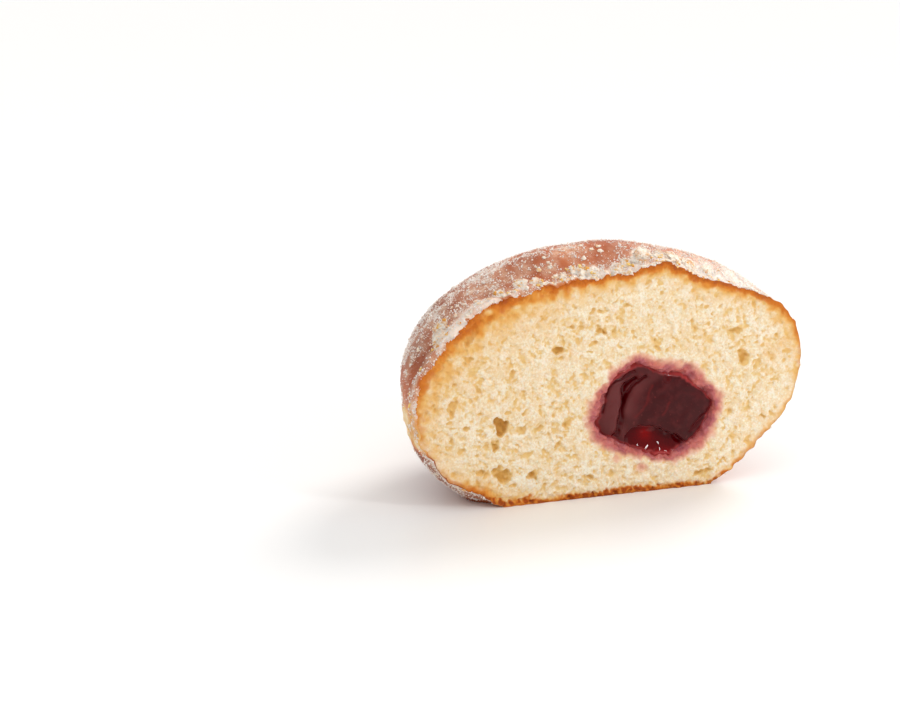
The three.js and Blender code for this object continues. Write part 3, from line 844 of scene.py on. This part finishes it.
def set_jelly():
    material, shader, wire = finish_named(
        "set_jelly", Subsurface_Weight=0.2, Subsurface_Radius=(2.5, 0.15, 0.15), Specular_IOR_Level=0.17
    )
    deep = wire.attribute("deep")
    fresh = wire.attribute("fresh")
    seeds = wire.noise(1300, 2).step(0.64, 0.76)
    body = wire.mix(wire.attribute("milky"), tint(66, 8, 12), tint(104, 46, 46))
    body = wire.mix(0.6 * seeds, body, tint(120, 44, 44))
    body = wire.mix(0.45 * wire.noise(420, 3).step(0.44, 0.68), body, tint(98, 30, 32))
    body = wire.mix(0.35 * wire.attribute("streak"), body, tint(128, 26, 26))
    # The grooves' and pool's deep red, painted brighter towards the light shining through the pool
    deep_red_and_glow = wire.mix(fresh.step(0.0, 1.0), tint(80, 0, 5), tint(166, 0, 0))
    colour = wire.mix(deep.step(0.15, 0.75), body, deep_red_and_glow)
    thin = wire.attribute("thin") * (0.5 + wire.noise(500, 2))
    colour = wire.mix(thin.step(0.1, 1.0), colour, tint(172, 66, 66))
    wire.finish(
        shader,
        Base_Color=colour,
        Roughness=0.3 - 0.26 * deep.step(0.2, 0.8),
        Coat_Weight=0.12 * deep.step(0.3, 0.8),
        Normal=wire.relief(0.2, 0.3 * MM, wire.noise(520, 2)),
    )
    return material


def make_jelly():
    around = np.arange(JELLY_STEPS_ROUND) / JELLY_STEPS_ROUND * 2 * np.pi
    reach = jelly_reach(around)
    rings = []

    def ring_at(share, lap):
        x = JELLY_MIDDLE[0] + (reach + lap) * share * np.cos(around)
        return x, JELLY_MIDDLE[1] + (reach + lap) * share * np.sin(around)

    for r in range(1, JELLY_FRONT_RINGS + 1):
        x, z = ring_at(r / JELLY_FRONT_RINGS, JELLY_LAP)
        curl = 1.1 * smoothstep(off_jelly(x, z)[1], -0.5, JELLY_LAP)
        rings.append(np.stack([x, jelly_front(x, z)[0] + curl, z], axis=1))
    for r in range(1, JELLY_BACK_RINGS):
        turn = r / JELLY_BACK_RINGS * np.pi / 2
        x, z = ring_at(math.cos(turn), 0)
        y = np.full_like(x, JELLY_RECESS + 3.2 + (JELLY_DEPTH - 3.6) * math.sin(turn))
        rings.append(np.stack([x, y, z], axis=1))
    tip = np.array([JELLY_MIDDLE[0], JELLY_RECESS + JELLY_DEPTH - 0.4, JELLY_MIDDLE[1]])
    middle_depth = jelly_front(JELLY_MIDDLE[:1], JELLY_MIDDLE[1:])[0][0]
    middle = np.array([JELLY_MIDDLE[0], middle_depth, JELLY_MIDDLE[1]])
    points, faces = loft(rings, tip, middle)
    looks = jelly_front(points[:, 0], points[:, 2])[1]
    looks["thin"] = smoothstep(off_jelly(points[:, 0], points[:, 2])[1], -1.1, 0.3)
    return make_piece("jelly_filling", points, faces, looks, set_jelly())


jelly = make_jelly()
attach(jelly, "root")
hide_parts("jelly")

# Sugar coat
# Granulated sugar that the warm crust was rolled in. Coarse crystals, fine ones and dust each make one piece,
# scattered over the crust by how thick the coat is there.

# Each coat: name, crystals on a square metre of full cover, their size, how far they lift, sides and seed
SUGAR_COATS = [
    ("sugar_coarse", 2.1e6, 0.45, 0.18, 4, 1),
    ("sugar_fine", 4.4e6, 0.3, 0.12, 4, 2),
    ("sugar_dust", 6.5e6, 0.19, 0.08, 3, 3),
]
CLUMPS_PER_METRE = 700
SCATTER_INPUTS = ("Per Square Metre", "Crystal Size", "Lift", "Sides", "Seed", "Finish")


def sugar_crystals():
    material, shader, wire = finish_named(
        "sugar_crystals", Roughness=0.3, Subsurface_Weight=0.6, Subsurface_Radius=(0.6, 0.55, 0.5)
    )
    tone = wire.noise(1800, 1).step(0.35, 0.65)
    wire.finish(shader, Base_Color=wire.mix(tone, tint(248, 228, 212), tint(255, 249, 243)))
    return material


def scatter_tree():
    """Crystals scattered over a surface, as dense as its sugar attribute says."""
    tree = bpy.data.node_groups.new("scatter_crystals", "GeometryNodeTree")
    kinds = ("Geometry", "Float", "Float", "Float", "Int", "Int", "Material")
    for name, kind in zip(("Host", *SCATTER_INPUTS), kinds):
        tree.interface.new_socket(name, in_out="INPUT", socket_type="NodeSocket" + kind)
    tree.interface.new_socket("Crystals", in_out="OUTPUT", socket_type="NodeSocketGeometry")
    wire = Wire(tree)
    given = wire.node("NodeGroupInput").socket.node.outputs
    host, density, size, lift, corners, seed, look = (Wire(tree, given[i]) for i in range(7))
    cover_with_highlight = wire.node("GeometryNodeInputNamedAttribute", {"data_type": "FLOAT"}, {"Name": "sugar"})
    place = wire.node("GeometryNodeInputPosition")
    clumps = {"Vector": place, "Scale": CLUMPS_PER_METRE, "Detail": 3, "Roughness": 0.6}
    clump = wire.node("ShaderNodeTexNoise", {}, clumps)
    gathered = cover_with_highlight * (0.15 + 1.45 * clump.step(0.45, 0.63))
    spots = wire.node(
        "GeometryNodeDistributePointsOnFaces",
        {"distribute_method": "RANDOM"},
        {"Mesh": host, "Density": density * gathered, "Seed": seed},
    )
    normal = Wire(tree, spots.socket.node.outputs["Normal"])

    def chance(low, high, shift):
        given = {2: low, 3: high, "Seed": seed + shift}
        return wire.node("FunctionNodeRandomValue", {"data_type": "FLOAT"}, given, 1)

    def chance_vector(low, high, shift):
        given = {0: (low,) * 3, 1: (high,) * 3, "Seed": seed + shift}
        return wire.node("FunctionNodeRandomValue", {"data_type": "FLOAT_VECTOR"}, given, 0)

    def scaled(vector, share):
        return wire.node("ShaderNodeVectorMath", {"operation": "SCALE"}, {0: vector, "Scale": share})

    rise = scaled(normal, lift * chance(-0.25, 1.0, 1))
    raised = wire.node("GeometryNodeSetPosition", {}, {"Geometry": spots, "Offset": rise})
    grain = wire.node("GeometryNodeMeshUVSphere", {}, {"Segments": corners, "Rings": 2, "Radius": 0.5})
    turned = wire.node("FunctionNodeEulerToRotation", {}, {0: chance_vector(0, 6.28, 2)})
    scale = scaled(chance_vector(0.75, 1.35, 3), size * chance(0.6, 1.25, 4))
    placed = wire.node(
        "GeometryNodeInstanceOnPoints",
        {},
        {"Points": raised, "Instance": grain, "Rotation": turned, "Scale": scale},
    )
    real = wire.node("GeometryNodeRealizeInstances", {}, {"Geometry": placed})
    dressed = wire.node("GeometryNodeSetMaterial", {}, {"Geometry": real, "Material": look})
    flat = wire.node("GeometryNodeSetShadeSmooth", {}, {"Geometry": dressed, "Shade Smooth": False})
    end = tree.nodes.new("NodeGroupOutput")
    tree.links.new(flat.socket, end.inputs[0])
    return tree


def scatter(name, host, tree, *settings):
    """A new piece with what the tree scatters over the host. The settings follow SCATTER_INPUTS."""
    piece = bpy.data.objects.new(name, host.data.copy())
    bpy.context.scene.collection.objects.link(piece)
    modifier = piece.modifiers.new("scatter", "NODES")
    modifier.node_group = tree
    for title, value in zip(SCATTER_INPUTS, settings):
        modifier[tree.interface.items_tree[title].identifier] = value
    graph = bpy.context.evaluated_depsgraph_get()
    mesh = bpy.data.meshes.new_from_object(piece.evaluated_get(graph), depsgraph=graph)
    piece.modifiers.remove(modifier)
    piece.data = mesh
    mesh.name = name
    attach(piece, "root")
    return piece


crystal_tree = scatter_tree()
sugar_white = sugar_crystals()
for name, per_square_metre, size, lift, corners, seed in SUGAR_COATS:
    scatter(name, crust, crystal_tree, per_square_metre, size * MM, lift * MM, corners, seed, sugar_white)

# Sugar cakes
# Where the coat was damp near the cut, the same sugar caked into flat, grainy lumps that stick to the crust.
# Small lumps lie round them, and orange crumbs of toasted crust, torn off by the knife, stick to them.

SMALL_CAKES = 60
SMALL_CAKE_ANGLES = [(20, 165), (100, 205)]
RIM_LUMPS = 60
CRUMBS_PER_CAKE = 4
RIM_CRUMBS = 60


def sugar_cake():
    material, shader, wire = finish_named(
        "caked_sugar", Roughness=0.6, Subsurface_Weight=0.5, Subsurface_Radius=(1.0, 0.9, 0.8)
    )
    grain = wire.noise(1900, 3)
    tone = wire.mix(grain.step(0.35, 0.6), tint(255, 218, 186), tint(255, 240, 222))
    tone = wire.mix(0.7 * wire.noise(700, 2).step(0.54, 0.64), tone, tint(240, 176, 104))
    wire.finish(shader, Base_Color=tone, Normal=wire.relief(0.55, 0.4 * MM, grain))
    return material


def toasted_crumb():
    material, shader, wire = finish_named(
        "toasted_crumb", Roughness=0.8, Subsurface_Weight=0.3, Subsurface_Radius=(1.0, 0.6, 0.3)
    )
    tone = wire.mix(wire.noise(700, 2).step(0.4, 0.6), tint(246, 200, 120), tint(232, 160, 66))
    wire.finish(shader, Base_Color=tone)
    return material


def make_lumps(name, spots, material, detail, flatness, roughness, grain, seed):
    """Rough, flattened lumps that sit on the crust. A spot is angle, distance behind the cut and radius."""
    ball = bmesh.new()
    bmesh.ops.create_icosphere(ball, subdivisions=detail, radius=1)
    unit = np.array([v.co for v in ball.verts])
    corners = np.array([[v.index for v in f.verts] for f in ball.faces])
    ball.free()
    points, faces = [], []
    for number, (degrees, behind, radius) in enumerate(spots):
        angle = np.full(3, math.radians(degrees)) + np.array([0, 0.01, 0])
        share = np.arcsin(np.clip(behind / HALF_DEPTH, 0, 1)) / (np.pi / 2) + np.array([0, 0, 0.01])
        place, beside, behind_it = skin_at(angle, share)
        along = (beside - place) / np.linalg.norm(beside - place)
        away = np.cross(along, behind_it - place)
        away = away / np.linalg.norm(away)
        away = away if away @ (place - [0, 0, MIDDLE_HEIGHT]) > 0 else -away
        third = np.cross(away, along)
        shift = np.array([7.3 * number + seed, 2.1 * number, 5.7 * number])
        swollen = 1 + 0.45 * noise_at(unit * 1.2 + shift, 1, seed, 2)[:, None]
        offset = unit * swollen * radius
        rough = roughness * noise_at(unit * radius + shift, grain, seed + 1, 2)[:, None] * unit
        offset = offset + rough
        shape = offset @ np.stack([along, third, away * flatness])
        faces.append(corners + len(unit) * number)
        points.append(place + away * flatness * radius * 0.35 + shape)
    points = np.vstack(points)
    piece = make_piece(name, points, np.vstack(faces), {"sugar": np.full(len(points), 2.0)}, material)
    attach(piece, "root")
    return piece


random = np.random.default_rng(8)
small_cakes = [
    (random.uniform(*random.choice(SMALL_CAKE_ANGLES)), random.uniform(0.8, 9), random.uniform(0.2, 0.5))
    for _ in range(SMALL_CAKES)
]
cake_white = sugar_cake()
cakes = make_lumps(
    "sugar_cakes", CAKES, cake_white, detail=4, flatness=0.15, roughness=0.7, grain=0.45, seed=91
)
scatter("cake_crystals", cakes, crystal_tree, 2.5e6, 0.34 * MM, 0.2 * MM, 4, 9, cake_white)
over_rim = [
    (random.uniform(20, 165), random.uniform(0, 0.6), random.uniform(0.25, 0.6)) for _ in range(RIM_LUMPS)
]
lumps = small_cakes + over_rim
make_lumps("sugar_lumps", lumps, cake_white, detail=3, flatness=0.4, roughness=0.25, grain=0.4, seed=92)
near_cakes = [
    (degrees + random.normal(0, 1.6), max(behind + random.normal(0, 0.7), 0.4), random.uniform(0.2, 0.5))
    for degrees, behind, _ in CAKES
    for _ in range(CRUMBS_PER_CAKE)
]
along_rim = [
    (random.uniform(20, 215), random.exponential(0.7) + 0.1, random.uniform(0.12, 0.3))
    for _ in range(RIM_CRUMBS)
]
crumbs = near_cakes + along_rim
crumb_orange = toasted_crumb()
make_lumps("toasted_crumbs", crumbs, crumb_orange, detail=2, flatness=0.5, roughness=0.4, grain=0.35, seed=93)

# Floor, light and camera
# A white studio table in pale light from all round, with a broad, soft sun from behind on the right, a wider
# one from above, a weak fill from the front and one small lamp that glints in the jelly. The camera stands to
# the left of the cut and a little above it.

CAMERA_AZIMUTH = math.radians(18.6)
CAMERA_ELEVATION = math.radians(16)
PHOTO_SIZE = (900, 728)
FOCAL_PIXELS = 2400
CUT_FOOT_PIXEL = (607, 496)
CAMERA_DISTANCE = 0.5139
SENSOR_WIDTH = 36
TABLE_HALF = 4
WORLD_STRENGTH = 0.45


def make_floor():
    mesh = bpy.data.meshes.new("table")
    corners = [(x * TABLE_HALF, y * TABLE_HALF, 0) for x, y in ((-1, -1), (1, -1), (1, 1), (-1, 1))]
    mesh.from_pydata(corners, [], [(0, 1, 2, 3)])
    material, *_ = finish_named("table_white", Roughness=0.4, Base_Color=(0.96, 0.955, 0.95, 1))
    mesh.materials.append(material)
    floor = bpy.data.objects.new("table", mesh)
    bpy.context.scene.collection.objects.link(floor)


def make_lamp(name, kind, energy, place, aim, colour=(1, 1, 1)):
    data = bpy.data.lights.new(name, kind)
    data.energy = energy
    data.color = colour
    lamp = bpy.data.objects.new(name, data)
    lamp.location = place
    lamp.rotation_euler = (Vector(aim) - Vector(place)).to_track_quat("-Z", "Y").to_euler()
    bpy.context.scene.collection.objects.link(lamp)
    return data


def make_sun(name, energy, degrees_wide, place, colour=(1, 1, 1)):
    make_lamp(name, "SUN", energy, place, (0, 0, 0), colour).angle = math.radians(degrees_wide)


def make_softbox(name, energy, size, place, aim):
    make_lamp(name, "AREA", energy, place, aim).size = size


def make_camera():
    across = (CUT_FOOT_PIXEL[0] - PHOTO_SIZE[0] / 2) / FOCAL_PIXELS
    up = (PHOTO_SIZE[1] / 2 - CUT_FOOT_PIXEL[1]) / FOCAL_PIXELS
    level = math.cos(CAMERA_ELEVATION)
    sine, cosine = math.sin(CAMERA_AZIMUTH), math.cos(CAMERA_AZIMUTH)
    forward = Vector((sine * level, cosine * level, -math.sin(CAMERA_ELEVATION)))
    right = Vector((cosine, -sine, 0))
    upward = right.cross(forward)
    foot = Vector(TO_ROW * MM)
    data = bpy.data.cameras.new("camera")
    data.sensor_width = SENSOR_WIDTH
    data.lens = FOCAL_PIXELS * SENSOR_WIDTH / PHOTO_SIZE[0]
    camera = bpy.data.objects.new("camera", data)
    place = foot - CAMERA_DISTANCE * (forward + across * right + up * upward)
    axes = Matrix((right, upward, -forward)).transposed().to_4x4()
    camera.matrix_world = Matrix.Translation(place) @ axes
    bpy.context.scene.collection.objects.link(camera)
    bpy.context.scene.camera = camera


make_floor()
world = bpy.data.worlds.new("studio")
world.use_nodes = True
backdrop = world.node_tree.nodes["Background"]
backdrop.inputs["Color"].default_value = (1, 1, 1, 1)
backdrop.inputs["Strength"].default_value = WORLD_STRENGTH
bpy.context.scene.world = world
make_sun("dome_light", energy=0.75, degrees_wide=110, place=(-0.15, 0.4, 1.0))
make_sun("key_light", energy=1.8, degrees_wide=28, place=(0.72, 0.42, 0.6), colour=(1, 0.97, 0.93))
make_sun("fill_light", energy=0.6, degrees_wide=60, place=(-0.4, -0.8, 1.1), colour=(1, 0.985, 0.96))
make_softbox("glint_light", energy=0.95, size=0.08, place=(0.34, -0.48, 0.4), aim=(0.01, -0.02, 0.01))
make_camera()
bpy.context.scene.view_settings.view_transform = "Standard"
